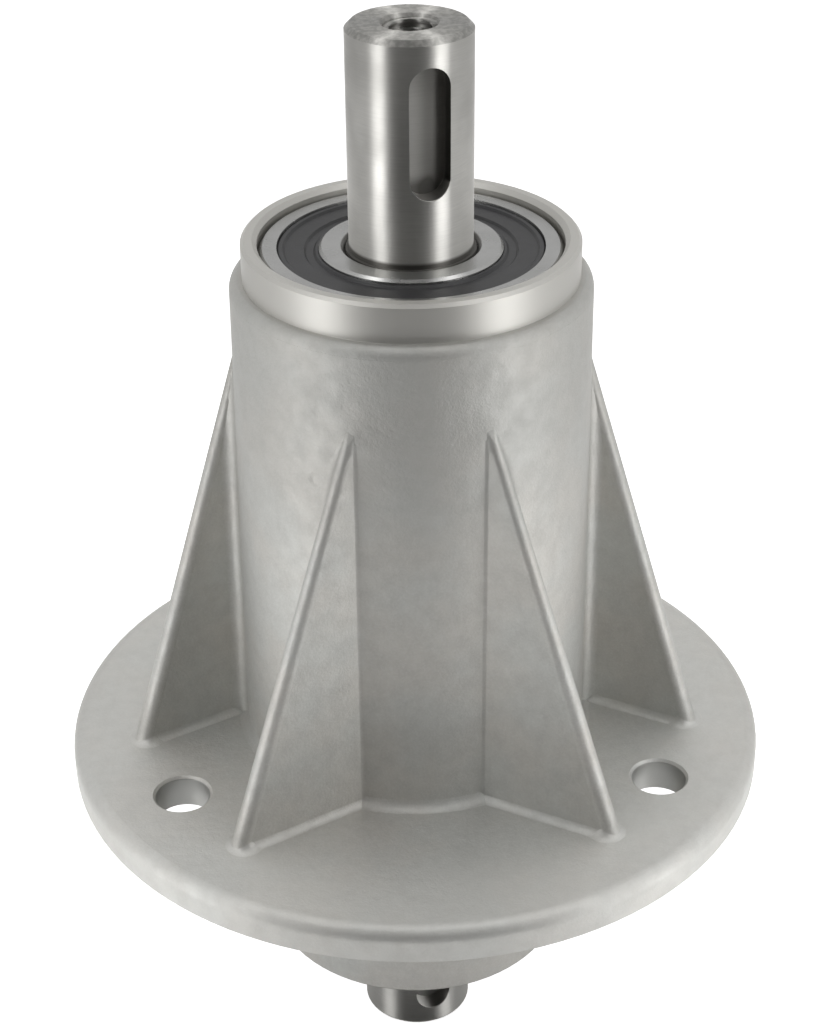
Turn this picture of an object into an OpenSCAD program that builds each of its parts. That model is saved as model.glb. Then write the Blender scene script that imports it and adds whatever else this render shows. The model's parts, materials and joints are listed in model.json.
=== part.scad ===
// Blade spindle of a rotary lawn mower: a cast aluminium bearing housing that bolts to the deck,
// and a keyed shaft that turns in it on two sealed deep groove ball bearings.
// The mounting face of the flange is at z = 0, and the shaft stands along Z with the pulley end up.

/* [Flange] */
// Diameter of the round mounting flange
flange_d = 117; // [112:1:124]
// Thickness of the flange
flange_t = 6; // [5:0.5:8]
// Radius that rounds the upper edge of the flange
flange_edge_r = 2.2; // [0.5:0.1:3]
// Diameter of the circle through the three bolt holes
bolt_circle_d = 90; // [86:1:94]
// Diameter of each bolt hole
bolt_hole_d = 8.7; // [6.5:0.1:9]
// Chamfer at both mouths of each bolt hole
bolt_hole_chamfer = 0.5; // [0.2:0.1:0.8]

/* [Housing] */
// Height of the housing above the mounting face
body_h = 93.2; // [88:0.2:100]
// Diameter of the machined lip at each end of the housing
lip_d = 52; // [51:0.5:54]
// Height of the machined lip at the upper end
lip_h = 6; // [4:0.5:8]
// Diameter of the cast barrel just below the lip
barrel_top_d = 56; // [55:0.5:58]
// Diameter of the cast barrel where it meets the flange
barrel_foot_d = 57.2; // [56.6:0.2:59]
// Radius that rounds the shoulder below the lip
shoulder_r = 1.8; // [0.5:0.1:1.9]
// Radius of the cast fillet between barrel and flange
foot_fillet_r = 1.9; // [1:0.1:2.5]
// How far the lower bearing boss reaches below the mounting face
boss_depth = 36; // [30:1:42]
// Diameter of the boss at the mounting face
boss_root_d = 54; // [53:0.5:56]
// Diameter of the cored space between the bearings
core_d = 44; // [42:0.5:45]

/* [Ribs] */
// Distance of each rib from the centre line of its bolt hole
rib_offset = 16.9; // [15.5:0.1:18]
// Height of the rib tops above the mounting face
rib_top_z = 71.5; // [60:0.5:74]
// How far a rib's edge stands from the axis at its top, along its bolt hole's radius
rib_head = 22.9; // [22.4:0.1:23.4]
// How far a rib's edge stands from the axis at the flange, along its bolt hole's radius
rib_foot = 45.1; // [42:0.1:47]
// Thickness of a rib at its top
rib_top_t = 2.2; // [2:0.1:3]
// Thickness of a rib at the flange
rib_foot_t = 3.2; // [2.6:0.1:4]
// Radius of the cast fillets along the ribs
rib_fillet_r = 1.4; // [1:0.1:1.8]
// Radius of the cast fillet round the toe of a rib
toe_fillet_r = 1.9; // [1.4:0.1:2.2]

/* [Bearings] */
// Outside diameter of a bearing
bearing_od = 47; // [47:47]
// Bore of a bearing
bearing_bore = 20; // [20:20]
// Width of a bearing
bearing_w = 14; // [14:14]
// Number of balls in a bearing
ball_count = 8; // [6:1:8]
// Diameter of a ball
ball_d = 7.938; // [7.938:7.938]
// How far a bearing sits inside the housing's end face
bearing_recess = 1.4; // [0.8:0.1:2]

/* [Shaft] */
// Height of the shaft's upper end above the mounting face
shaft_top_z = 126.1; // [120:0.5:135]
// Depth of the shaft's lower end below the mounting face
shaft_depth = 59.5; // [54:0.5:66]
// Diameter of the pulley seat and of the blade seat
seat_d = 19.05; // [18:0.05:19.5]
// Chamfer at both ends of the shaft
shaft_chamfer = 0.8; // [0.4:0.1:1.5]
// Width of the keyways
key_w = 6.35; // [5:0.05:6.5]
// Depth of the keyways below the shaft's surface
key_depth = 3.3; // [2.5:0.1:3.5]
// Distance from each end of the shaft to its keyway
key_from_end = 4; // [3:0.5:6]
// Length of the keyway at the pulley end
upper_key_len = 20; // [14:1:24]
// Length of the keyway at the blade end
lower_key_len = 16; // [10:1:18]
// Turn of the keyways from the front of the housing
key_angle = 16; // [-180:1:180]
// Major diameter of the tapped hole in each end
thread_d = 7.94; // [6:0.02:8]
// Depth of the full thread in each end
thread_depth = 22; // [16:1:30]

/* [Spacer] */
// Outside diameter of the tube between the inner rings
spacer_od = 26; // [24:0.5:27]
// Bore of the tube between the inner rings
spacer_bore = 20.4; // [20.2:0.1:21]

/* [Hidden] */
$fn = 120;
// How deep the edge of a fillet is buried, and how far a cutter or a root runs past a face
e = 0.03;
over = 1;

// Housing
bolt_angles = [-150, -30, 90];
lip_r = lip_d / 2;
shoulder_z = body_h - lip_h;
edge_break = 0.5;
seat_lead = 0.7;
bearing_r = bearing_od / 2;
upper_bearing_z = body_h - bearing_recess - bearing_w / 2;
lower_bearing_z = bearing_recess + bearing_w / 2 - boss_depth;
upper_seat_z = upper_bearing_z - bearing_w / 2;
lower_seat_z = lower_bearing_z + bearing_w / 2;
stop_w = 2.6;
stop_r = bearing_r - stop_w;
stop_h = 4;
core_lead = 1;

// Ribs, beside a bolt hole on +X. The rounded edge of a rib is a slender cone, its nose
rib_into_wall = 1.5;
rib_inner = sqrt(pow(bearing_r + rib_into_wall, 2) - pow(rib_offset, 2));
nose_ratio = 1.04;
nose_foot_r = nose_ratio * rib_foot_t / 2;
nose_top_r = nose_ratio * rib_top_t / 2;
rib_rise = rib_top_z - flange_t;
edge_lean = atan2(rib_foot - rib_head, rib_rise);
nose_foot = rib_foot - nose_foot_r / cos(edge_lean);
nose_head = rib_head - nose_top_r / cos(edge_lean);
nose_lean = atan2(nose_foot - nose_head, rib_rise);
rib_end_z = flange_t + (nose_foot - rib_inner) / tan(nose_lean);

// Shaft
seat_r = seat_d / 2;
step_in = 0.3;
hole_chamfer = 0.5;
drill_point_h = 2;

// Section of a bearing, taken from its middle plane
pitch_r = (bearing_bore + bearing_od) / 4;
half_w = bearing_w / 2;
ball_r = ball_d / 2;
groove_ratio = 1.03;
groove_r = ball_r * groove_ratio;
race_gap = 0.03;
ring_chamfer = 0.8;
inner_land_r = 14.1;
outer_land_r = 19.4;
seal_seat_r = 20.5;
seal_seat_depth = 1.9;
seal_sink = 0.3;
seal_t = 1.6;
seal_lip_gap = 0.08;
seal_step = 0.35;
seal_round = 0.3;
seal_bead_w = 0.9;
seal_lip_w = 0.4;
seal_groove_w = 1.8;
cage_t = 0.8;
cage_in_r = 15.2;
cage_out_r = 18.3;
pocket_gap = 0.1;
rivet_r = 0.6;
rivet_head_r = 1.05;
rivet_crown_r = 0.65;
rivet_head_h = 0.5;

// Colours of the pieces
cast_grey = [0.66, 0.66, 0.65];
turned_steel = [0.72, 0.72, 0.71];
bearing_steel = [0.78, 0.78, 0.77];
cage_steel = [0.62, 0.62, 0.6];
ball_steel = [0.85, 0.85, 0.86];
seal_black = [0.2, 0.2, 0.21];
tube_steel = [0.55, 0.55, 0.54];

function ball_names(end) = [for (i = [1 : ball_count]) str(end, "_ball_", i)];
function bearing_names(end) = concat(
    [for (part = ["outer_ring", "inner_ring", "upper_cage", "lower_cage", "cage_rivets",
                  "upper_seal", "lower_seal"]) str(end, "_bearing_", part)],
    ball_names(end));

// Fills the inside corner at the origin between the axes with a fillet
module inside_fillet(r) {
    translate([-e, -e])
        difference() {
            square(r);
            translate([r, r]) circle(r);
        }
}

// Rounds the outside corner at the origin of a section that lies below and left of it
module outside_round(r) {
    difference() {
        translate([-r, -r]) square(r + over);
        translate([-r, -r]) circle(r);
    }
}

// Half section of the housing's outside, solid to the axis
module housing_outline() {
    difference() {
        union() {
            polygon([
                [0, -boss_depth],
                [lip_r - edge_break, -boss_depth],
                [lip_r, edge_break - boss_depth],
                [boss_root_d / 2, 0],
                [flange_d / 2 - edge_break, 0],
                [flange_d / 2, edge_break],
                [flange_d / 2, flange_t],
                [barrel_foot_d / 2, flange_t],
                [barrel_top_d / 2, shoulder_z],
                [lip_r, shoulder_z],
                [lip_r, body_h - edge_break],
                [lip_r - edge_break, body_h],
                [0, body_h]
            ]);
            translate([barrel_foot_d / 2, flange_t]) inside_fillet(foot_fillet_r);
        }
        translate([flange_d / 2, flange_t]) outside_round(flange_edge_r);
        translate([barrel_top_d / 2, shoulder_z]) outside_round(shoulder_r);
    }
}

// Half section of everything bored or cored out of the housing
module housing_bore() {
    polygon([
        [0, -boss_depth - over],
        [bearing_r + seat_lead, -boss_depth - over],
        [bearing_r + seat_lead, -boss_depth],
        [bearing_r, seat_lead - boss_depth],
        [bearing_r, lower_seat_z],
        [stop_r, lower_seat_z],
        [stop_r, lower_seat_z + stop_h],
        [core_d / 2, lower_seat_z + stop_h + core_lead],
        [core_d / 2, upper_seat_z - stop_h - core_lead],
        [stop_r, upper_seat_z - stop_h],
        [stop_r, upper_seat_z],
        [bearing_r, upper_seat_z],
        [bearing_r, body_h - seat_lead],
        [bearing_r + seat_lead, body_h],
        [bearing_r + seat_lead, body_h + over],
        [0, body_h + over]
    ]);
}

// Radius of the barrel and half thickness of a rib at height z, by their casting draft
function barrel_r(z) =
    (barrel_foot_d + (barrel_top_d - barrel_foot_d) * (z - flange_t) / (shoulder_z - flange_t)) / 2;
function rib_half_t(z) = (rib_foot_t + (rib_top_t - rib_foot_t) * (z - flange_t) / rib_rise) / 2;

// Middle of the fillet between barrel and rib at height z. face is 1 on the side away from the bolt
function root_centre(face, z) =
    let (
        off = rib_offset + face * (rib_half_t(z) + rib_fillet_r - e),
        reach = barrel_r(z) + rib_fillet_r - e
    )
    [sqrt(pow(reach, 2) - pow(off, 2)), off];

// Flat side of a rib: distance along the bolt hole's radius, and height
module rib_side() {
    polygon([
        [rib_inner, flange_t - over],
        [nose_foot, flange_t - over],
        [nose_foot, flange_t],
        [rib_inner, rib_end_z]
    ]);
}

// End view of a rib, thinner at its top
module rib_end() {
    polygon([
        [-rib_foot_t / 2, flange_t - over],
        [rib_foot_t / 2, flange_t - over],
        [rib_foot_t / 2, flange_t],
        [rib_half_t(rib_end_z), rib_end_z],
        [-rib_half_t(rib_end_z), rib_end_z],
        [-rib_foot_t / 2, flange_t]
    ]);
}

module rib_plate() {
    intersection() {
        rotate([90, 0, 0])
            linear_extrude(height = 2 * rib_foot_t, center = true) rib_side();
        rotate([90, 0, 90])
            linear_extrude(height = rib_foot) rib_end();
    }
}

// The rounded outer edge, from inside the flange to inside the barrel's wall
module rib_nose() {
    length = (rib_end_z - flange_t) / cos(nose_lean);
    taper = (nose_top_r - nose_foot_r) * cos(nose_lean) / rib_rise;
    translate([nose_foot, 0, flange_t])
        rotate([0, -nose_lean, 0])
            translate([0, 0, -over])
                cylinder(
                    r1 = nose_foot_r - taper * over,
                    r2 = nose_foot_r + taper * length,
                    h = length + over);
}

// Fillet along both sides of a rib's foot, and a fuller one round its toe
module rib_foot_fillet() {
    toe = nose_foot - toe_fillet_r * tan(nose_lean);
    for (turn = [0, 1])
        mirror([0, turn, 0])
            translate([rib_inner, 0, 0])
                rotate([90, 0, 90])
                    linear_extrude(height = toe - rib_inner)
                        translate([rib_foot_t / 2, flange_t]) inside_fillet(rib_fillet_r);
    translate([toe, 0, 0])
        rotate_extrude()
            translate([rib_foot_t / 2, flange_t]) inside_fillet(toe_fillet_r);
}

// Plan of the fillet between barrel and rib, about its own middle at the flange
module root_section(face) {
    centre = root_centre(face, flange_t);
    touch = rib_fillet_r / (barrel_r(flange_t) + rib_fillet_r - e);
    inward = centre / norm(centre) * over;
    difference() {
        polygon([
            [0, 0],
            [0, -face * rib_fillet_r],
            [0, -face * (rib_fillet_r + over / 2)],
            -centre * touch - inward - [0, face * over / 2],
            -centre * touch - inward,
            -centre * touch
        ]);
        circle(rib_fillet_r);
    }
}

// Fillet up the corner between barrel and rib. It leans with the draft of both
module rib_root_fillet(face) {
    centre = root_centre(face, flange_t);
    shift = root_centre(face, rib_top_z) - centre;
    length = norm([shift[0], shift[1], rib_rise]);
    intersection() {
        translate([centre[0], centre[1], flange_t])
            rotate([-asin(shift[1] / length), atan2(shift[0], rib_rise), 0])
                translate([0, 0, -over])
                    linear_extrude(height = length + over) root_section(face);
        translate([0, rib_offset, 0])
            rotate([90, 0, 0])
                linear_extrude(height = 4 * rib_foot_t, center = true) rib_side();
    }
}

// One rib, beside a bolt hole that lies on +X
module rib() {
    translate([0, rib_offset, 0]) {
        rib_plate();
        rib_nose();
        rib_foot_fillet();
    }
    for (face = [-1, 1]) rib_root_fillet(face);
}

// One bolt hole on +X, with its chamfers
module bolt_hole() {
    mouth = bolt_hole_d / 2 + bolt_hole_chamfer;
    translate([bolt_circle_d / 2, 0, 0])
        rotate_extrude()
            polygon([
                [0, -over],
                [mouth, -over],
                [mouth, 0],
                [bolt_hole_d / 2, bolt_hole_chamfer],
                [bolt_hole_d / 2, flange_t - bolt_hole_chamfer],
                [mouth, flange_t],
                [mouth, flange_t + over],
                [0, flange_t + over]
            ]);
}

module spindle_housing() {
    color(cast_grey)
        difference() {
            union() {
                rotate_extrude() housing_outline();
                for (angle = bolt_angles, side = [0, 1])
                    rotate([0, 0, angle]) mirror([0, side, 0]) rib();
            }
            rotate_extrude() housing_bore();
            for (angle = bolt_angles)
                rotate([0, 0, angle]) bolt_hole();
        }
}

// Half section of the shaft, with the larger seat that carries the bearings
module shaft_outline() {
    polygon([
        [0, -shaft_depth],
        [seat_r - shaft_chamfer, -shaft_depth],
        [seat_r, shaft_chamfer - shaft_depth],
        [seat_r, lower_bearing_z - half_w + step_in],
        [bearing_bore / 2, lower_bearing_z - half_w + step_in],
        [bearing_bore / 2, upper_bearing_z + half_w - step_in],
        [seat_r, upper_bearing_z + half_w - step_in],
        [seat_r, shaft_top_z - shaft_chamfer],
        [seat_r - shaft_chamfer, shaft_top_z],
        [0, shaft_top_z]
    ]);
}

// Half section of a tapped hole that opens upwards at z = 0
module tapped_hole() {
    r = thread_d / 2;
    rotate_extrude()
        polygon([
            [0, -thread_depth - drill_point_h],
            [r, -thread_depth],
            [r, -hole_chamfer],
            [r + hole_chamfer, 0],
            [r + hole_chamfer, over],
            [0, over]
        ]);
}

// Cutter for a round-ended keyway of length len, standing on its floor at the front
module keyway(len) {
    flat = len - key_w;
    rotate([0, 0, key_angle])
        translate([0, key_depth - seat_r, 0])
            rotate([90, 0, 0])
                linear_extrude(height = key_depth + over)
                    union() {
                        square([key_w, flat], center = true);
                        for (end = [-1, 1])
                            translate([0, end * flat / 2]) circle(key_w / 2);
                    }
}

module spindle_shaft() {
    upper_key_z = shaft_top_z - key_from_end - upper_key_len / 2;
    lower_key_z = key_from_end + lower_key_len / 2 - shaft_depth;
    color(turned_steel)
        difference() {
            rotate_extrude() shaft_outline();
            translate([0, 0, shaft_top_z]) tapped_hole();
            translate([0, 0, -shaft_depth]) mirror([0, 0, 1]) tapped_hole();
            translate([0, 0, upper_key_z]) keyway(upper_key_len);
            translate([0, 0, lower_key_z]) keyway(lower_key_len);
        }
}

module spacer_tube() {
    color(tube_steel)
        translate([0, 0, lower_seat_z])
            difference() {
                cylinder(d = spacer_od, h = upper_seat_z - lower_seat_z);
                translate([0, 0, -over])
                    cylinder(d = spacer_bore, h = upper_seat_z - lower_seat_z + 2 * over);
            }
}

// Closes a ring section, given from the outside inwards above its middle plane, by its mirror image
function both_sides(points) = concat(
    points,
    [for (i = [len(points) - 1 : -1 : 0]) [points[i][0], -points[i][1]]]);

module bearing_outer_ring() {
    groove_x = pitch_r + ball_r + race_gap - groove_r;
    color(bearing_steel)
        rotate_extrude()
            difference() {
                polygon(both_sides([
                    [bearing_r, half_w - ring_chamfer],
                    [bearing_r - ring_chamfer, half_w],
                    [seal_seat_r, half_w],
                    [seal_seat_r, half_w - seal_seat_depth],
                    [outer_land_r, half_w - seal_seat_depth]
                ]));
                translate([groove_x, 0]) circle(groove_r);
            }
}

module bearing_inner_ring() {
    groove_x = pitch_r - ball_r - race_gap + groove_r;
    color(bearing_steel)
        rotate_extrude()
            difference() {
                polygon(both_sides([
                    [inner_land_r, half_w - ring_chamfer / 2],
                    [inner_land_r - ring_chamfer / 2, half_w],
                    [bearing_bore / 2 + ring_chamfer, half_w],
                    [bearing_bore / 2, half_w - ring_chamfer]
                ]));
                translate([groove_x, 0]) circle(groove_r);
            }
}

// A moulded seal above the middle plane, its bead held in the outer ring
module bearing_seal() {
    face = half_w - seal_sink;
    back = face - seal_t;
    disc = face - seal_step;
    bead = seal_seat_r - seal_bead_w;
    lip = inner_land_r + seal_lip_gap;
    groove_from = lip + seal_lip_w;
    groove_to = groove_from + seal_groove_w;
    color(seal_black)
        rotate_extrude()
            polygon([
                [seal_seat_r, back],
                [seal_seat_r, disc],
                [seal_seat_r - seal_round, face],
                [bead, face],
                [bead - seal_step, disc],
                [groove_to, disc],
                [groove_to - seal_step, disc - seal_step],
                [groove_from + seal_step, disc - seal_step],
                [groove_from, disc],
                [lip, disc],
                [lip, back + seal_round],
                [lip + 2 * seal_round, back]
            ]);
}

// Half of the pressed cage, above the middle plane, with a domed pocket for each ball
module bearing_cage() {
    pocket_r = ball_r + pocket_gap;
    step = 360 / ball_count;
    color(cage_steel)
        difference() {
            intersection() {
                union() {
                    cylinder(r = cage_out_r + over, h = cage_t);
                    for (i = [0 : ball_count - 1])
                        rotate([0, 0, i * step])
                            translate([pitch_r, 0, 0]) sphere(pocket_r + cage_t);
                }
                difference() {
                    cylinder(r = cage_out_r, h = half_w);
                    translate([0, 0, -over]) cylinder(r = cage_in_r, h = half_w + 2 * over);
                }
            }
            for (i = [0 : ball_count - 1]) {
                rotate([0, 0, i * step])
                    translate([pitch_r, 0, 0]) sphere(pocket_r);
                rotate([0, 0, (i + 0.5) * step])
                    translate([pitch_r, 0, -over]) cylinder(r = rivet_r, h = cage_t + 2 * over);
            }
        }
}

// The rivets that hold the two halves of a cage together, one between each two balls
module bearing_rivets() {
    step = 360 / ball_count;
    color(cage_steel)
        for (i = [0 : ball_count - 1])
            rotate([0, 0, (i + 0.5) * step])
                translate([pitch_r, 0, 0])
                    rotate_extrude()
                        polygon(both_sides([
                            [rivet_r, cage_t],
                            [rivet_head_r, cage_t],
                            [rivet_crown_r, cage_t + rivet_head_h],
                            [0, cage_t + rivet_head_h]
                        ]));
}

module bearing_ball(i) {
    color(ball_steel)
        rotate([0, 0, (i - 1) * 360 / ball_count])
            translate([pitch_r, 0, 0]) sphere(ball_r);
}

// Draws each piece of the bearing at height z whose name is asked for
module bearing(end, z) {
    prefix = str(end, "_bearing_");
    translate([0, 0, z]) {
        bearing_outer_ring();
        bearing_inner_ring();
        bearing_cage();
        mirror([0, 0, 1]) bearing_cage();
        bearing_rivets();
        bearing_seal();
        mirror([0, 0, 1]) bearing_seal();
        for (i = [1 : ball_count])
            bearing_ball(i);
    }
}

spindle_housing();
spindle_shaft();
spacer_tube();
bearing("top", upper_bearing_z);
bearing("bottom", lower_bearing_z);
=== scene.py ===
import json
import math

import bmesh
import bpy
from mathutils import Matrix, Quaternion, Vector


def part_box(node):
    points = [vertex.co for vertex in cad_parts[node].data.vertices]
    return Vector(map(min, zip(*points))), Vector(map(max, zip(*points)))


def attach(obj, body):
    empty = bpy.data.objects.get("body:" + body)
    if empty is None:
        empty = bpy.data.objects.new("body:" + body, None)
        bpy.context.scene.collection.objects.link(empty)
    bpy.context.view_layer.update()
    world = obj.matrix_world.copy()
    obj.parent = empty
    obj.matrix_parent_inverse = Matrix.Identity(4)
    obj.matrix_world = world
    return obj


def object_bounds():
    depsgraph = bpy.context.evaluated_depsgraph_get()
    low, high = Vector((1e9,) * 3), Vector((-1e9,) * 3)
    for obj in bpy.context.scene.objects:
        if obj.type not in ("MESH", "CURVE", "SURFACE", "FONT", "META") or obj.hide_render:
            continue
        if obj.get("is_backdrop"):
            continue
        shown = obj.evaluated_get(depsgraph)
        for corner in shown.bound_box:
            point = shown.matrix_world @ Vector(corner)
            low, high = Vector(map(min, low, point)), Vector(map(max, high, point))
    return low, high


MM = 0.001

# The photograph's view, fitted to the rims, the flange and the bolt holes
IMAGE_HEIGHT = 1024
FOCAL_PIXELS = 2082
SENSOR = 36
CAMERA_DISTANCE = 340.5 * MM
CAMERA_ELEVATION = math.radians(30.1)
CAMERA_TURN = math.radians(-2.7)
CAMERA_ROLL = math.radians(-0.41)
LOOK_AT = Vector((0.75, 0, 44.53)) * MM
NEAREST, FARTHEST = 0.01, 20

# Machined places on the casting, in millimetres and degrees
LIP_FOOT_Z = 87.2
SEAT_RADIUS = 23.5
BOSS_FACE_Z = -36.0
BOSS_ROOT_RADIUS = 27.0
BOLT_CIRCLE_RADIUS = 45.0
BOLT_ANGLES = (-150, -30, 90)
HOLE_WALL_RADIUS = 4.45

# The casting's finish. Places and depths are in millimetres
WARM_SKIN = (0.57, 0.556, 0.523, 1)
COOL_SKIN = (0.556, 0.56, 0.537, 1)
PATCHY_SKIN = (0.47, 0.465, 0.445, 1)
BRIGHT_GRAIN = (0.67, 0.665, 0.65, 1)
# Painted shade: the skin darkens towards the top of the barrel, between these heights
SHADED_UPPER_SKIN = (0.42, 0.417, 0.398, 1)
SHADED_UPPER_HEIGHTS = (40, 75)
# Painted light: the flange's top paler towards its outer edge, between these radii
LIT_OUTER_SKIN = (0.66, 0.655, 0.63, 1)
LIT_OUTER_RADII = (40, 50)
SKIN_ROUGHNESS = (0.54, 0.66)
GRAIN_DEPTH = 0.05
PATCH_DEPTH = 0.12
# Painted shade in narrow corners: its colour, and the reach and samples of the occlusion that places it
PAINTED_CORNER_SHADE = (0.3, 0.295, 0.28, 1)
CORNER_SHADE_REACH = 2.2
CORNER_SHADE_SAMPLES = 8
MACHINED_ALUMINIUM = (0.56, 0.55, 0.52, 1)
MACHINED_ROUGHNESS = 0.45
MACHINED_RING_DEPTH = 0.0012
# Painted shade on the bolt holes' walls
HOLE_WALL_SHADE = (0.36, 0.36, 0.345, 1)
CAST_METALLIC = 0.8
BLEMISH_AT = (-15.7, -23.6, 64.2)
BLEMISH_RADIUS = 1.5
BLEMISH_DEPTH = 0.16

# The barrel and the ribs beside each bolt hole, in millimetres, for the fillets in their inner corners
BARREL_FOOT_RADIUS = 28.6
BARREL_TOP_RADIUS = 28.0
FLANGE_TOP_Z = 6.0
RIB_TOP_Z = 71.5
RIB_OFFSET = 16.9
RIB_FOOT_HALF_THICKNESS = 1.6
RIB_TOP_HALF_THICKNESS = 1.1
RIB_EDGE_FOOT_X = 43.34
RIB_EDGE_TOP_X = 21.69
ROOT_FILLET_RADIUS = 1.9
ROOT_FILLET_SINK = 0.02
ROOT_FILLET_BURIED = 0.6
ROOT_FILLET_STEP = 1.5
ROOT_ARC_STEPS = 10
ROOT_SHARP_ANGLE = math.radians(40)

# Places on the shaft and the bearings, in millimetres
SHAFT_RADIUS = 9.525
SHAFT_TOP_Z = 126.1
SHAFT_END_Z = -59.5
SHAFT_CHAMFER = 0.8
KEYWAY_FLOOR_Y = -6
UPPER_KEYWAY_FOOT_Z = 102.1
BEARING_FACE_Z = 91.8
RING_BORE_RADIUS = 10

# Steel finishes: colour, duller colour, roughness, and the depth of the turned rings in millimetres
STEELS = {
    "turned_steel": ((0.82, 0.81, 0.775, 1), (0.7, 0.69, 0.66, 1), 0.48, 0.0012),
    "bearing_steel": ((0.5, 0.5, 0.49, 1), (0.43, 0.43, 0.42, 1), 0.24, 0.0006),
    "cage_steel": ((0.58, 0.57, 0.55, 1), (0.5, 0.49, 0.47, 1), 0.32, 0.0008),
    "tube_steel": ((0.5, 0.49, 0.47, 1), (0.42, 0.41, 0.4, 1), 0.36, 0.0015),
}
STEEL_CLOUD_DEPTH = 0.02
END_FACE = (0.56, 0.55, 0.525, 1)
DARK_END_FACE = (0.4, 0.395, 0.375, 1)
END_FACE_ROUGHNESS = 0.5
BALL_STEEL = (0.8, 0.8, 0.79, 1)
DULL_BALL_STEEL = (0.74, 0.74, 0.74, 1)
BALL_ROUGHNESS = (0.06, 0.1)

# The painted shade's colour on the steel, and its share of the colour in each place
PAINTED_SHADE_COLOUR = (0.1, 0.095, 0.085, 1)
RECESS_SHADE = 0.45
MOST_SHADE = 0.9
CHAMFER_SHADE = 0.92
UPPER_END_SHADE = 0.32
LOWER_END_SHADE = 0.22

# The seals' finish
RUBBER = (0.018, 0.018, 0.02, 1)
DUSTY_RUBBER = (0.036, 0.036, 0.037, 1)
RUBBER_ROUGHNESS = (0.36, 0.48)
RUBBER_GRAIN_DEPTH = 0.02

# Thread in both ends of the shaft, in millimetres
THREAD_MAJOR_RADIUS = 3.99
THREAD_MINOR_RADIUS = 3.3
THREAD_PITCH = 1.411
THREAD_BASE = 1.2
THREAD_CREST = 0.22
THREAD_LENGTH = 21.2
THREAD_START = 0.55
THREAD_STEPS_PER_TURN = 48
DOUBLES_WITHIN = 1e-7

# The studio, in metres and watts
FLOOR_SIZE = 12
FLOOR_COLOUR = (0.8, 0.8, 0.8, 1)
FLOOR_LIFT = 0.7
SKY_LIGHT = 0.5
# Soft lamps round the object: azimuth from the camera in degrees, and power
SOFTBOXES = {
    "left_lamp": (-57, 0.12),
    "right_lamp": (58, 0.132),
}
SOFTBOX_WIDTH = 0.06
SOFTBOX_HEIGHT = 0.4
SOFTBOX_DISTANCE = 0.165
SOFTBOX_Z = 0.14
# How far above the floor the cards and mats start
STAGE_LIFT = 0.5 * MM
# Cards bent round the object: azimuth and spread in degrees, distance, lower and upper edge, tone
CURVED_CARDS = {
    "front_low_card": (0, 84, 0.2, 0.0, 0.05, 0.13),
    "front_card": (0, 84, 0.2, 0.05, 0.41, 0.09),
    "front_hood": (0, 84, 0.2, 0.41, 0.96, 0.05),
    "left_card": (-112, 78, 0.24, 0.0, 0.38, 0.68),
    "right_card": (112, 78, 0.24, 0.0, 0.38, 0.74),
    "left_high_card": (-112, 78, 0.24, 0.38, 0.76, 0.8),
    "right_high_card": (112, 78, 0.24, 0.38, 0.76, 0.8),
    "back_card": (180, 66, 0.5, 0.21, 0.96, 0.64),
}
CARD_STEPS = 16
# Painted shadows under the object, mats that the object's reflections see: radius, height, tone
SHADOW_MATS = {
    "pale_shadow_mat": (0.085, 0.0, 0.62),
    "dark_shadow_mat": (0.04, 0.0005, 0.1),
}
ROUND_STEPS = 48
TOP_LAMP_SIZE = 1.5
TOP_LAMP_POWER = 3.2
TOP_LAMP_AT = (0, 0, 0.95)


def add_camera():
    """Puts the camera where the photograph was taken from."""
    data = bpy.data.cameras.new("photo_camera")
    data.sensor_width = SENSOR
    data.lens = FOCAL_PIXELS / IMAGE_HEIGHT * SENSOR
    data.clip_start, data.clip_end = NEAREST, FARTHEST
    camera = bpy.data.objects.new("photo_camera", data)
    turn = Matrix.Rotation(CAMERA_TURN, 4, "Z")
    back = turn @ Vector((0, -math.cos(CAMERA_ELEVATION), math.sin(CAMERA_ELEVATION)))
    camera.location = turn @ LOOK_AT + back * CAMERA_DISTANCE
    camera.rotation_mode = "QUATERNION"
    facing = (-back).to_track_quat("-Z", "Y")
    camera.rotation_quaternion = facing @ Quaternion((0, 0, 1), CAMERA_ROLL)
    bpy.context.scene.collection.objects.link(camera)
    bpy.context.scene.camera = camera


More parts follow.
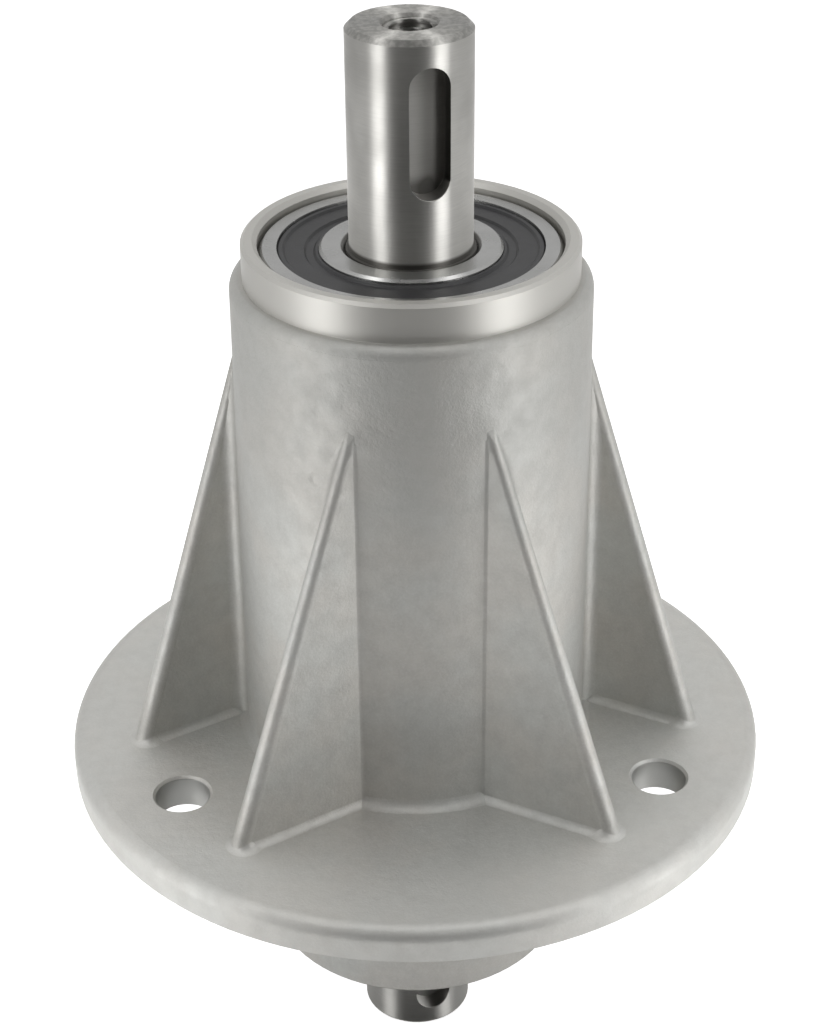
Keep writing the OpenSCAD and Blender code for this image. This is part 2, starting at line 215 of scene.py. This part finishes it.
class Shader:
    """One material's nodes, made and linked by short calls. Lengths are in millimetres."""

    def __init__(self, name):
        self.material = bpy.data.materials.new(name)
        self.material.use_nodes = True
        self.tree = self.material.node_tree
        self.tree.nodes.clear()
        self.output = self.tree.nodes.new("ShaderNodeOutputMaterial")
        place = self.tree.nodes.new("ShaderNodeTexCoord").outputs["Object"]
        self.place = self.vector("SCALE", place, scale=1 / MM)
        split = self.node("ShaderNodeSeparateXYZ", Vector=self.place)
        self.x, self.y, self.z = split.outputs

    def put(self, socket, value):
        if isinstance(value, bpy.types.NodeSocket):
            self.tree.links.new(value, socket)
        else:
            socket.default_value = value

    def node(self, kind, **inputs):
        made = self.tree.nodes.new(kind)
        for name, value in inputs.items():
            self.put(made.inputs[name.replace("_", " ")], value)
        return made

    def math(self, operation, a, b=0.0):
        made = self.tree.nodes.new("ShaderNodeMath")
        made.operation = operation
        self.put(made.inputs[0], a)
        self.put(made.inputs[1], b)
        return made.outputs[0]

    def vector(self, operation, a, b=(0, 0, 0), scale=1.0):
        made = self.tree.nodes.new("ShaderNodeVectorMath")
        made.operation = operation
        self.put(made.inputs[0], a)
        if operation == "SCALE":
            self.put(made.inputs["Scale"], scale)
        elif operation != "LENGTH":
            self.put(made.inputs[1], b)
        return made.outputs["Value" if operation in ("LENGTH", "DISTANCE") else "Vector"]

    def ramp(self, value, low, high, out_low=0.0, out_high=1.0):
        """Turns value from low to high smoothly into out_low to out_high."""
        made = self.tree.nodes.new("ShaderNodeMapRange")
        made.interpolation_type = "SMOOTHSTEP"
        for name, given in (("Value", value), ("From Min", low), ("From Max", high),
                            ("To Min", out_low), ("To Max", out_high)):
            self.put(made.inputs[name], given)
        return made.outputs["Result"]

    def mix(self, factor, a, b):
        made = self.tree.nodes.new("ShaderNodeMix")
        made.data_type = "RGBA"
        for socket, value in ((made.inputs[0], factor), (made.inputs[6], a), (made.inputs[7], b)):
            self.put(socket, value)
        return made.outputs[2]

    def blend(self, factor, a, b):
        """Mixes two numbers."""
        made = self.tree.nodes.new("ShaderNodeMix")
        for socket, value in ((made.inputs[0], factor), (made.inputs[2], a), (made.inputs[3], b)):
            self.put(socket, value)
        return made.outputs[0]

    def noise(self, scale, detail=2.0, roughness=0.5, stretch=None):
        """Noise with about scale grains a millimetre."""
        place = self.place if stretch is None else self.vector("MULTIPLY", self.place, stretch)
        made = self.node("ShaderNodeTexNoise", Vector=place, Scale=scale, Detail=detail,
                         Roughness=roughness)
        return made.outputs["Fac"]

    def in_plan(self):
        """The place seen along the shaft's axis."""
        return self.vector("MULTIPLY", self.place, (1, 1, 0))

    def radius(self):
        """Distance from the shaft's axis."""
        return self.vector("LENGTH", self.in_plan())

    def bump(self, height, depth, normal=None):
        """Raises the surface by height times depth millimetres."""
        made = self.node("ShaderNodeBump", Height=height, Distance=depth * MM, Strength=1.0)
        if normal is not None:
            self.put(made.inputs["Normal"], normal)
        return made.outputs["Normal"]

    def principled(self, **inputs):
        made = self.node("ShaderNodeBsdfPrincipled", **inputs)
        self.tree.links.new(made.outputs["BSDF"], self.output.inputs["Surface"])
        return self.material


def hole_walls(shader):
    """1 on the walls of the bolt holes."""
    plan = shader.in_plan()
    mask = 0.0
    for angle in BOLT_ANGLES:
        turn = math.radians(angle)
        centre = (BOLT_CIRCLE_RADIUS * math.cos(turn), BOLT_CIRCLE_RADIUS * math.sin(turn), 0)
        away = shader.vector("DISTANCE", plan, centre)
        mask = shader.math("MAXIMUM", mask, shader.ramp(away, HOLE_WALL_RADIUS, HOLE_WALL_RADIUS - 0.05))
    return mask


def machined_mask(shader, radius, holes):
    """1 on the lips, bores, faces and holes of the casting that were machined, 0 where it is as cast."""
    z = shader.z
    lip = shader.ramp(z, LIP_FOOT_Z - 0.1, LIP_FOOT_Z + 0.1)
    bore = shader.ramp(radius, SEAT_RADIUS + 0.5, SEAT_RADIUS + 0.3)
    end = shader.ramp(z, BOSS_FACE_Z + 0.6, BOSS_FACE_Z + 0.4)
    beyond_boss = shader.ramp(radius, BOSS_ROOT_RADIUS + 0.2, BOSS_ROOT_RADIUS + 0.3)
    face = shader.math("MULTIPLY", shader.ramp(z, 0.06, 0.02), beyond_boss)
    mask = holes
    for part in (lip, bore, end, face):
        mask = shader.math("MAXIMUM", mask, part)
    return mask


def corner_shade(shader):
    """1 in open places, falling to 0 in narrow corners."""
    made = shader.tree.nodes.new("ShaderNodeAmbientOcclusion")
    made.samples = CORNER_SHADE_SAMPLES
    made.only_local = True
    made.inputs["Distance"].default_value = CORNER_SHADE_REACH * MM
    return made.outputs["AO"]


def cast_skin(shader, radius, patch, grain):
    """The colour of the skin as cast, with painted light and shade: darker up the barrel, paler on the
    flange's outer top, and darker in narrow corners.
    """
    cloud = shader.noise(0.07, detail=3)
    skin = shader.mix(shader.ramp(cloud, 0.35, 0.65), WARM_SKIN, COOL_SKIN)
    skin = shader.mix(shader.ramp(patch, 0.3, 0.75, 0, 0.35), skin, PATCHY_SKIN)
    skin = shader.mix(shader.ramp(grain, 0.35, 0.8, 0, 0.4), skin, BRIGHT_GRAIN)
    # Painted shade: the barrel's skin darker towards its top
    upper = shader.ramp(shader.z, *SHADED_UPPER_HEIGHTS, 0, 0.5)
    skin = shader.mix(upper, skin, SHADED_UPPER_SKIN)
    # Painted light: the flange's outer top paler
    on_flange = shader.ramp(shader.z, FLANGE_TOP_Z + 2, FLANGE_TOP_Z + 0.5, 0, 0.45)
    outer = shader.math("MULTIPLY", shader.ramp(radius, *LIT_OUTER_RADII), on_flange)
    skin = shader.mix(outer, skin, LIT_OUTER_SKIN)
    # Painted shade: darker where the occlusion finds a narrow corner
    corner_darkening = shader.ramp(corner_shade(shader), 0.35, 0.8, 0.65, 0)
    return shader.mix(corner_darkening, skin, PAINTED_CORNER_SHADE)


def cast_relief(shader, radius, machined, patch, grain):
    """The skin's grain and unevenness, one blemish, and the fine rings of the machined faces."""
    wander = shader.noise(0.6, detail=2, stretch=(0.3, 0.3, 0.3))
    along = shader.math("MULTIPLY", shader.math("ADD", radius, shader.z), 34.0)
    along = shader.math("ADD", along, shader.math("MULTIPLY", wander, 7.0))
    rings = shader.math("MULTIPLY", shader.math("SINE", along), machined)
    cast = shader.math("SUBTRACT", 1.0, machined)
    dent = shader.vector("DISTANCE", shader.place, BLEMISH_AT)
    dent = shader.ramp(dent, 0.3, BLEMISH_RADIUS, -1.0, 0.0)
    normal = shader.bump(shader.math("MULTIPLY", grain, cast), GRAIN_DEPTH)
    normal = shader.bump(shader.math("MULTIPLY", patch, cast), PATCH_DEPTH, normal)
    normal = shader.bump(dent, BLEMISH_DEPTH, normal)
    return shader.bump(rings, MACHINED_RING_DEPTH, normal)


def cast_aluminium():
    """Fine-grained cast skin with brighter machined lips and faces, and painted shade on the bolt holes'
    walls.
    """
    shader = Shader("cast_aluminium")
    radius = shader.radius()
    holes = hole_walls(shader)
    machined = machined_mask(shader, radius, holes)
    patch = shader.noise(0.35, detail=4, roughness=0.6)
    grain = shader.noise(2.6, detail=3, roughness=0.65)
    colour = shader.mix(machined, cast_skin(shader, radius, patch, grain), MACHINED_ALUMINIUM)
    # Painted shade on the bolt holes' walls
    colour = shader.mix(holes, colour, HOLE_WALL_SHADE)
    rough = shader.ramp(patch, 0.2, 0.8, *SKIN_ROUGHNESS)
    rough = shader.blend(machined, rough, MACHINED_ROUGHNESS)
    normal = cast_relief(shader, radius, machined, patch, grain)
    return shader.principled(Base_Color=colour, Roughness=rough, Metallic=CAST_METALLIC, Normal=normal)


def ground_steel(name, colour, dull, roughness, ring_depth, painted_shade=None, faced=None):
    """Turned or ground steel with faint rings round the axis and an uneven polish. It has painted shade
    where its shade function gives it, and a mottled skin where faced gives it."""
    shader = Shader(name)
    radius = shader.radius()
    streak = shader.noise(1.0, detail=4, roughness=0.6, stretch=(0.25, 0.25, 7.0))
    cloud = shader.noise(0.16, detail=3)
    tint = shader.mix(shader.ramp(streak, 0.3, 0.75, 0, 0.6), colour, dull)
    tint = shader.mix(shader.ramp(cloud, 0.4, 0.7, 0, 0.25), tint, dull)
    if painted_shade:
        # Painted shade mixed into the steel's colour
        tint = shader.mix(painted_shade(shader, radius), tint, PAINTED_SHADE_COLOUR)
    rough = shader.ramp(cloud, 0.25, 0.75, roughness - 0.04, roughness + 0.05)
    if faced:
        ends = faced(shader)
        mottle = shader.ramp(shader.noise(1.1, detail=4, roughness=0.6), 0.35, 0.65)
        tint = shader.mix(ends, tint, shader.mix(mottle, END_FACE, DARK_END_FACE))
        rough = shader.blend(ends, rough, END_FACE_ROUGHNESS)
    along = shader.math("MULTIPLY", shader.math("ADD", radius, shader.z), 26.0)
    rings = shader.math("SINE", shader.math("ADD", along, shader.math("MULTIPLY", streak, 5.0)))
    normal = shader.bump(rings, ring_depth)
    normal = shader.bump(cloud, STEEL_CLOUD_DEPTH, normal)
    round_axis = shader.tree.nodes.new("ShaderNodeTangent")
    round_axis.direction_type = "RADIAL"
    round_axis.axis = "Z"
    return shader.principled(Base_Color=tint, Roughness=rough, Metallic=1.0, Normal=normal,
                             Anisotropic=1.0, Anisotropic_Rotation=0.25,
                             Tangent=round_axis.outputs["Tangent"])


def recess_shade(shader):
    """How dark the painted shade in a recess is. The keyways have more on their far side, the upper one
    also at its foot.
    """
    far_side = shader.ramp(shader.x, -0.2, 2.8, -0.15, 0.3)
    foot = shader.ramp(shader.z, UPPER_KEYWAY_FOOT_Z + 3.4, UPPER_KEYWAY_FOOT_Z + 1.2, 0, 0.45)
    above = shader.ramp(shader.z, UPPER_KEYWAY_FOOT_Z - 2, UPPER_KEYWAY_FOOT_Z - 1)
    in_keyway = shader.ramp(shader.y, KEYWAY_FLOOR_Y + 1, KEYWAY_FLOOR_Y)
    more = shader.math("ADD", far_side, shader.math("MULTIPLY", foot, above))
    keyed = shader.math("MULTIPLY", in_keyway, more)
    return shader.math("MINIMUM", shader.math("ADD", keyed, RECESS_SHADE), MOST_SHADE)


def shaft_shade(shader, radius):
    """Painted shade in the recesses and where the shaft enters the bearing, and painted shade that darkens
    the shaft towards its top and below the boss.
    """
    inside = shader.ramp(radius, SHAFT_RADIUS - 0.1, SHAFT_RADIUS - 0.3)
    below_top = shader.ramp(shader.z, SHAFT_TOP_Z - 0.7, SHAFT_TOP_Z - 1.1)
    above_end = shader.ramp(shader.z, SHAFT_END_Z + 0.7, SHAFT_END_Z + 1.1)
    inside = shader.math("MULTIPLY", shader.math("MULTIPLY", inside, below_top), above_end)
    inside = shader.math("MULTIPLY", inside, recess_shade(shader))
    # Painted shade where the shaft enters the bearing
    corner = shader.ramp(shader.z, BEARING_FACE_Z + 0.9, BEARING_FACE_Z + 0.2, 0, MOST_SHADE)
    corner = shader.math("MULTIPLY", corner, shader.ramp(shader.z, BEARING_FACE_Z - 3, BEARING_FACE_Z - 1))
    # Painted shade: darker towards the shaft's top and below the boss
    end_shade = shader.math("MAXIMUM", shader.ramp(shader.z, BEARING_FACE_Z + 1, SHAFT_TOP_Z - 2, 0, UPPER_END_SHADE),
                       shader.ramp(shader.z, BOSS_FACE_Z + 6, BOSS_FACE_Z, 0, LOWER_END_SHADE))
    return shader.math("MAXIMUM", shader.math("MAXIMUM", inside, corner), end_shade)


def shaft_ends(shader):
    """1 on the shaft's end faces and their chamfers."""
    top = shader.ramp(shader.z, SHAFT_TOP_Z - SHAFT_CHAMFER - 0.02, SHAFT_TOP_Z - SHAFT_CHAMFER + 0.02)
    end = shader.ramp(shader.z, SHAFT_END_Z + SHAFT_CHAMFER + 0.02, SHAFT_END_Z + SHAFT_CHAMFER - 0.02)
    return shader.math("MAXIMUM", top, end)


def bearing_shade(shader, radius):
    """Painted shade on the rings' chamfers, against the shaft and the housing."""
    inner = shader.ramp(radius, RING_BORE_RADIUS + 0.85, RING_BORE_RADIUS + 0.6)
    outer = shader.ramp(radius, SEAT_RADIUS - 0.65, SEAT_RADIUS - 0.4)
    return shader.math("MULTIPLY", shader.math("MAXIMUM", inner, outer), CHAMFER_SHADE)


def polished_steel():
    """Lapped balls."""
    shader = Shader("ball_steel")
    cloud = shader.noise(0.9, detail=2)
    tint = shader.mix(shader.ramp(cloud, 0.35, 0.7), BALL_STEEL, DULL_BALL_STEEL)
    rough = shader.ramp(cloud, 0.3, 0.7, *BALL_ROUGHNESS)
    return shader.principled(Base_Color=tint, Roughness=rough, Metallic=1.0)


def moulded_rubber():
    """Matt black seal rubber with a dusty bloom and a fine moulded grain."""
    shader = Shader("seal_rubber")
    bloom = shader.noise(0.3, detail=4, roughness=0.6)
    grain = shader.noise(4.0, detail=2)
    tint = shader.mix(shader.ramp(bloom, 0.35, 0.75), RUBBER, DUSTY_RUBBER)
    rough = shader.ramp(bloom, 0.3, 0.7, *RUBBER_ROUGHNESS)
    normal = shader.bump(grain, RUBBER_GRAIN_DEPTH)
    return shader.principled(Base_Color=tint, Roughness=rough, Metallic=0.0, Normal=normal)


def slot_materials():
    """One finish for each of the record's material slots."""
    # Painted shade on the shaft and on the bearings' rings
    painted_shade = {"turned_steel": shaft_shade, "bearing_steel": bearing_shade}
    faced = {"turned_steel": shaft_ends}
    finishes = {
        "cast_aluminium": cast_aluminium(),
        "ball_steel": polished_steel(),
        "seal_rubber": moulded_rubber(),
    }
    for name, look in STEELS.items():
        finishes[name] = ground_steel(name, *look, painted_shade.get(name), faced.get(name))
    return finishes


def finish_cad_nodes(frame, finishes):
    """Gives every CAD node its slot's finish."""
    slots = {part["node"]: part["material_slot"] for part in frame["record"]["subparts"]}
    for name, node in frame["nodes"].items():
        node.data.materials.clear()
        node.data.materials.append(finishes[slots[name]])


def thread_tree():
    """Geometry nodes that wind a thread's ridge up the inside of a hole."""
    tree = bpy.data.node_groups.new("thread_ridge", "GeometryNodeTree")
    sizes = ("Major Radius", "Minor Radius", "Pitch", "Base Width", "Crest Width", "Length", "Start Height")
    for name in sizes:
        tree.interface.new_socket(name, in_out="INPUT", socket_type="NodeSocketFloat")
    tree.interface.new_socket("Steps", in_out="INPUT", socket_type="NodeSocketInt")
    tree.interface.new_socket("Finish", in_out="INPUT", socket_type="NodeSocketMaterial")
    tree.interface.new_socket("Geometry", in_out="OUTPUT", socket_type="NodeSocketGeometry")
    link = tree.links.new
    given = tree.nodes.new("NodeGroupInput").outputs
    result = tree.nodes.new("NodeGroupOutput")

    def sum_of(operation, a, b):
        node = tree.nodes.new("ShaderNodeMath")
        node.operation = operation
        for socket, value in zip(node.inputs, (a, b)):
            if isinstance(value, bpy.types.NodeSocket):
                link(value, socket)
            else:
                socket.default_value = value
        return node.outputs[0]

    depth = sum_of("SUBTRACT", given["Major Radius"], given["Minor Radius"])
    middle = sum_of("DIVIDE", sum_of("ADD", given["Major Radius"], given["Minor Radius"]), 2.0)
    spiral = tree.nodes.new("GeometryNodeCurveSpiral")
    link(given["Steps"], spiral.inputs["Resolution"])
    link(sum_of("DIVIDE", given["Length"], given["Pitch"]), spiral.inputs["Rotations"])
    link(middle, spiral.inputs["Start Radius"])
    link(middle, spiral.inputs["End Radius"])
    link(given["Length"], spiral.inputs["Height"])
    upright = tree.nodes.new("GeometryNodeSetCurveNormal")
    upright.mode = "Z_UP"
    link(spiral.outputs["Curve"], upright.inputs["Curve"])
    section = tree.nodes.new("GeometryNodeCurvePrimitiveQuadrilateral")
    section.mode = "TRAPEZOID"
    link(given["Base Width"], section.inputs["Bottom Width"])
    link(given["Crest Width"], section.inputs["Top Width"])
    section.inputs["Offset"].default_value = 0
    link(depth, section.inputs["Height"])
    sweep = tree.nodes.new("GeometryNodeCurveToMesh")
    link(upright.outputs["Curve"], sweep.inputs["Curve"])
    link(section.outputs["Curve"], sweep.inputs["Profile Curve"])
    sweep.inputs["Fill Caps"].default_value = True
    lift = tree.nodes.new("ShaderNodeCombineXYZ")
    link(given["Start Height"], lift.inputs["Z"])
    place = tree.nodes.new("GeometryNodeTransform")
    link(sweep.outputs["Mesh"], place.inputs["Geometry"])
    link(lift.outputs["Vector"], place.inputs["Translation"])
    real = tree.nodes.new("GeometryNodeRealizeInstances")
    link(place.outputs["Geometry"], real.inputs["Geometry"])
    paint = tree.nodes.new("GeometryNodeSetMaterial")
    link(real.outputs["Geometry"], paint.inputs["Geometry"])
    link(given["Finish"], paint.inputs["Material"])
    link(paint.outputs["Geometry"], result.inputs["Geometry"])
    return tree


def piece_from_nodes(name, tree, values):
    """Runs a geometry node tree once and keeps its result as a plain mesh."""
    piece = bpy.data.objects.new(name, bpy.data.meshes.new(name))
    bpy.context.scene.collection.objects.link(piece)
    modifier = piece.modifiers.new("form", "NODES")
    modifier.node_group = tree
    for item in tree.interface.items_tree:
        if item.item_type == "SOCKET" and item.in_out == "INPUT":
            modifier[item.identifier] = values[item.name]
    evaluated = piece.evaluated_get(bpy.context.evaluated_depsgraph_get())
    mesh = bpy.data.meshes.new_from_object(evaluated)
    piece.modifiers.clear()
    piece.data = mesh
    mesh.name = name
    outward_faces(mesh)
    return piece


def outward_faces(mesh):
    """Merges doubles and turns every face outwards."""
    form = bmesh.new()
    form.from_mesh(mesh)
    bmesh.ops.remove_doubles(form, verts=form.verts, dist=DOUBLES_WITHIN)
    bmesh.ops.recalc_face_normals(form, faces=form.faces)
    form.to_mesh(mesh)
    form.free()


def add_threads(finish):
    """Winds the thread's ridge up both tapped holes of the shaft."""
    low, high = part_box("spindle_shaft")
    tree = thread_tree()
    starts = {
        "upper_thread_form": high.z - (THREAD_START + THREAD_LENGTH) * MM,
        "lower_thread_form": low.z + THREAD_START * MM,
    }
    for name, start in starts.items():
        piece = piece_from_nodes(name, tree, {
            "Major Radius": THREAD_MAJOR_RADIUS * MM,
            "Minor Radius": THREAD_MINOR_RADIUS * MM,
            "Pitch": THREAD_PITCH * MM,
            "Base Width": THREAD_BASE * MM,
            "Crest Width": THREAD_CREST * MM,
            "Length": THREAD_LENGTH * MM,
            "Start Height": start,
            "Steps": THREAD_STEPS_PER_TURN,
            "Finish": finish,
        })
        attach(piece, "shaft")


def up_the_rib(foot, top, z):
    """A measure of the ribs at height z, from what it is at the flange and at their top."""
    return foot + (top - foot) * (z - FLANGE_TOP_Z) / (RIB_TOP_Z - FLANGE_TOP_Z)


def barrel_radius(z):
    """The barrel's radius at height z."""
    share = (z - FLANGE_TOP_Z) / (LIP_FOOT_Z - FLANGE_TOP_Z)
    return BARREL_FOOT_RADIUS + (BARREL_TOP_RADIUS - BARREL_FOOT_RADIUS) * share


def root_fillet_section(z):
    """The fillet at height z, in plan. Its round side is on a circle that touches barrel and rib."""
    barrel = barrel_radius(z) - ROOT_FILLET_SINK
    half = up_the_rib(RIB_FOOT_HALF_THICKNESS, RIB_TOP_HALF_THICKNESS, z) - ROOT_FILLET_SINK
    edge = Vector((up_the_rib(RIB_EDGE_FOOT_X, RIB_EDGE_TOP_X, z), RIB_OFFSET))
    reach = barrel + ROOT_FILLET_RADIUS
    off = RIB_OFFSET - half - ROOT_FILLET_RADIUS
    middle = Vector((math.sqrt(reach ** 2 - off ** 2), off))
    to_rib = Vector((0, 1))
    if middle.x > edge.x:
        out = edge.normalized()
        along = (reach ** 2 - (half + ROOT_FILLET_RADIUS) ** 2 + edge.length_squared) / (2 * edge.length)
        middle = out * along + Vector((out.y, -out.x)) * math.sqrt(reach ** 2 - along ** 2)
        to_rib = (edge - middle).normalized()
    to_barrel = -middle.normalized()
    turn = to_barrel.angle_signed(to_rib)
    section = []
    for step in range(ROOT_ARC_STEPS + 1):
        spoke = Matrix.Rotation(-turn * step / ROOT_ARC_STEPS, 2) @ to_barrel
        section.append(middle + spoke * ROOT_FILLET_RADIUS)
    inside = barrel - ROOT_FILLET_BURIED
    section.append(section[-1] + to_rib * ROOT_FILLET_BURIED)
    section.append(Vector((math.sqrt(inside ** 2 - RIB_OFFSET ** 2), RIB_OFFSET)))
    section.append(section[0] * (inside / barrel))
    return section


def root_fillet_rings():
    """Rings of points up one fillet. The first is inside the flange and the last inside the barrel."""
    rise = RIB_TOP_Z - FLANGE_TOP_Z
    steps = round(rise / ROOT_FILLET_STEP)
    heights = [FLANGE_TOP_Z - ROOT_FILLET_BURIED]
    heights += [FLANGE_TOP_Z + rise * i / steps for i in range(1, steps + 1)]
    rings = [[(*point, z) for point in root_fillet_section(z)] for z in heights]
    sunk = 1 - ROOT_FILLET_BURIED / BARREL_TOP_RADIUS
    rings.append([(x * sunk, y * sunk, z + ROOT_FILLET_BURIED) for x, y, z in rings[-1]])
    return rings


def add_root_fillets(finish):
    """Fills the inner corner between the barrel and each rib, on the side of its bolt hole."""
    form = bmesh.new()
    for angle in BOLT_ANGLES:
        turn = Matrix.Rotation(math.radians(angle), 3, "Z")
        for side in (1, -1):
            rings = [[form.verts.new(turn @ Vector((x, y * side, z)) * MM) for x, y, z in ring]
                     for ring in root_fillet_rings()]
            for low, high in zip(rings, rings[1:]):
                for i in range(len(low)):
                    form.faces.new((low[i - 1], low[i], high[i], high[i - 1]))
            form.faces.new(rings[0])
            form.faces.new(rings[-1])
    bmesh.ops.recalc_face_normals(form, faces=form.faces)
    mesh = bpy.data.meshes.new("rib_root_fillets")
    form.to_mesh(mesh)
    form.free()
    mesh.shade_smooth()
    mesh.set_sharp_from_angle(angle=ROOT_SHARP_ANGLE)
    mesh.materials.append(finish)
    piece = bpy.data.objects.new("rib_root_fillets", mesh)
    bpy.context.scene.collection.objects.link(piece)
    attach(piece, "housing")


def add_stage_mesh(name, points, faces, material):
    """A floor or card, which isn't part of the object."""
    mesh = bpy.data.meshes.new(name)
    mesh.from_pydata(points, [], faces)
    mesh.materials.append(material)
    sheet = bpy.data.objects.new(name, mesh)
    bpy.context.scene.collection.objects.link(sheet)
    sheet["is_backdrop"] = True
    return sheet


def background_share(tree):
    """1 for a ray from the camera, or one that metal or glass passes on, and 0 for other light."""
    path = tree.nodes.new("ShaderNodeLightPath")
    share = path.outputs["Is Camera Ray"]
    for name in ("Is Glossy Ray", "Is Transmission Ray"):
        either = tree.nodes.new("ShaderNodeMath")
        either.operation = "MAXIMUM"
        tree.links.new(share, either.inputs[0])
        tree.links.new(path.outputs[name], either.inputs[1])
        share = either.outputs[0]
    return share


def add_floor():
    """A pale floor at the shaft's lower end. It keeps the object's shadow."""
    low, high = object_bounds()
    material = bpy.data.materials.new("pale_floor")
    material.use_nodes = True
    tree = material.node_tree
    tree.nodes.clear()
    matt = tree.nodes.new("ShaderNodeBsdfDiffuse")
    matt.inputs["Color"].default_value = FLOOR_COLOUR
    glow = tree.nodes.new("ShaderNodeEmission")
    lift = tree.nodes.new("ShaderNodeMath")
    lift.operation = "MULTIPLY"
    lift.inputs[1].default_value = FLOOR_LIFT
    tree.links.new(background_share(tree), lift.inputs[0])
    tree.links.new(lift.outputs[0], glow.inputs["Strength"])
    both = tree.nodes.new("ShaderNodeAddShader")
    tree.links.new(matt.outputs[0], both.inputs[0])
    tree.links.new(glow.outputs[0], both.inputs[1])
    output = tree.nodes.new("ShaderNodeOutputMaterial")
    tree.links.new(both.outputs[0], output.inputs["Surface"])
    half = FLOOR_SIZE / 2
    corners = [(x * half, y * half, low.z) for x, y in ((-1, -1), (1, -1), (1, 1), (-1, 1))]
    add_stage_mesh("floor", corners, [(0, 1, 2, 3)], material)


def add_world():
    """Even studio light from all round, in front of a white background."""
    world = bpy.data.worlds.new("studio")
    bpy.context.scene.world = world
    world.use_nodes = True
    tree = world.node_tree
    sky = tree.nodes["Background"]
    sky.inputs["Color"].default_value = (1, 1, 1, 1)
    strength = tree.nodes.new("ShaderNodeMapRange")
    strength.inputs["To Min"].default_value = SKY_LIGHT
    strength.inputs["To Max"].default_value = 1.0
    tree.links.new(background_share(tree), strength.inputs["Value"])
    tree.links.new(strength.outputs["Result"], sky.inputs["Strength"])


def around(azimuth, distance, z):
    """A place round the object, in metres. Azimuth 0 is at the camera, in degrees."""
    turn = math.radians(azimuth) + CAMERA_TURN
    return Vector((math.sin(turn) * distance, -math.cos(turn) * distance, z))


def add_softbox(name, azimuth, power):
    """A tall soft lamp that faces the object, unseen by the camera."""
    lamp = bpy.data.lights.new(name, "AREA")
    lamp.shape = "RECTANGLE"
    lamp.size, lamp.size_y = SOFTBOX_WIDTH, SOFTBOX_HEIGHT
    lamp.energy = power
    box = bpy.data.objects.new(name, lamp)
    box.location = around(azimuth, SOFTBOX_DISTANCE, SOFTBOX_Z)
    box.rotation_mode = "QUATERNION"
    box.rotation_quaternion = around(azimuth, 1, 0).to_track_quat("Z", "Y")
    box.visible_camera = False
    bpy.context.scene.collection.objects.link(box)


def card_material(name, tone):
    """An even glow of the card's tone."""
    material = bpy.data.materials.new(name)
    material.use_nodes = True
    tree = material.node_tree
    tree.nodes.clear()
    glow = tree.nodes.new("ShaderNodeEmission")
    glow.inputs["Strength"].default_value = tone
    output = tree.nodes.new("ShaderNodeOutputMaterial")
    tree.links.new(glow.outputs[0], output.inputs["Surface"])
    return material


def hide_from_camera(card):
    """Lets a card light the object without being seen itself or casting a shadow."""
    card.visible_camera = False
    card.visible_transmission = False
    card.visible_shadow = False


def add_curved_card(name, azimuth, spread, distance, heights, tone):
    """A card bent round the object, spread degrees wide."""
    points = []
    for step in range(CARD_STEPS + 1):
        place = azimuth + spread * (step / CARD_STEPS - 0.5)
        points += [around(place, distance, z) for z in heights]
    faces = [(2 * i, 2 * i + 2, 2 * i + 3, 2 * i + 1) for i in range(CARD_STEPS)]
    hide_from_camera(add_stage_mesh(name, points, faces, card_material(name, tone)))


def add_round_card(name, radius, z, tone):
    """A level round card under the object, a painted shadow on the floor."""
    points = [around(360 * step / ROUND_STEPS, radius, z) for step in range(ROUND_STEPS)]
    hide_from_camera(add_stage_mesh(name, points, [tuple(range(ROUND_STEPS))], card_material(name, tone)))


def add_lights():
    """Tall soft lamps and cards round the object, mats of painted shadow under it, and a broad lamp above.
    """
    low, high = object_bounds()
    ground = low.z + STAGE_LIFT
    for name, (azimuth, power) in SOFTBOXES.items():
        add_softbox(name, azimuth, power)
    for name, (azimuth, spread, distance, lowest, highest, tone) in CURVED_CARDS.items():
        add_curved_card(name, azimuth, spread, distance, (ground + lowest, ground + highest), tone)
    # Painted shadows on the floor under the object
    for name, (radius, height, tone) in SHADOW_MATS.items():
        add_round_card(name, radius, ground + height, tone)
    lamp = bpy.data.lights.new("top_lamp", "AREA")
    lamp.shape = "DISK"
    lamp.size = TOP_LAMP_SIZE
    lamp.energy = TOP_LAMP_POWER
    top = bpy.data.objects.new("top_lamp", lamp)
    top.location = TOP_LAMP_AT
    top.visible_camera = False
    bpy.context.scene.collection.objects.link(top)


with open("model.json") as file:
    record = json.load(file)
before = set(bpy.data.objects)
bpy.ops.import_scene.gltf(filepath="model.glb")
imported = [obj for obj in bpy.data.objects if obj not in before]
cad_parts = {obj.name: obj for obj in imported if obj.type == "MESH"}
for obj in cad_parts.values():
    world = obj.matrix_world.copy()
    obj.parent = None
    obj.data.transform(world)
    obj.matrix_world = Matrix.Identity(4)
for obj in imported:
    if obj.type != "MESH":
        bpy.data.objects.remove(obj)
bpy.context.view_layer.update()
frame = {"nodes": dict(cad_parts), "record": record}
add_camera()
bpy.context.scene.view_settings.view_transform = "Standard"
finishes = slot_materials()
finish_cad_nodes(frame, finishes)
add_threads(finishes["turned_steel"])
add_root_fillets(finishes["cast_aluminium"])
add_floor()
add_world()
add_lights()
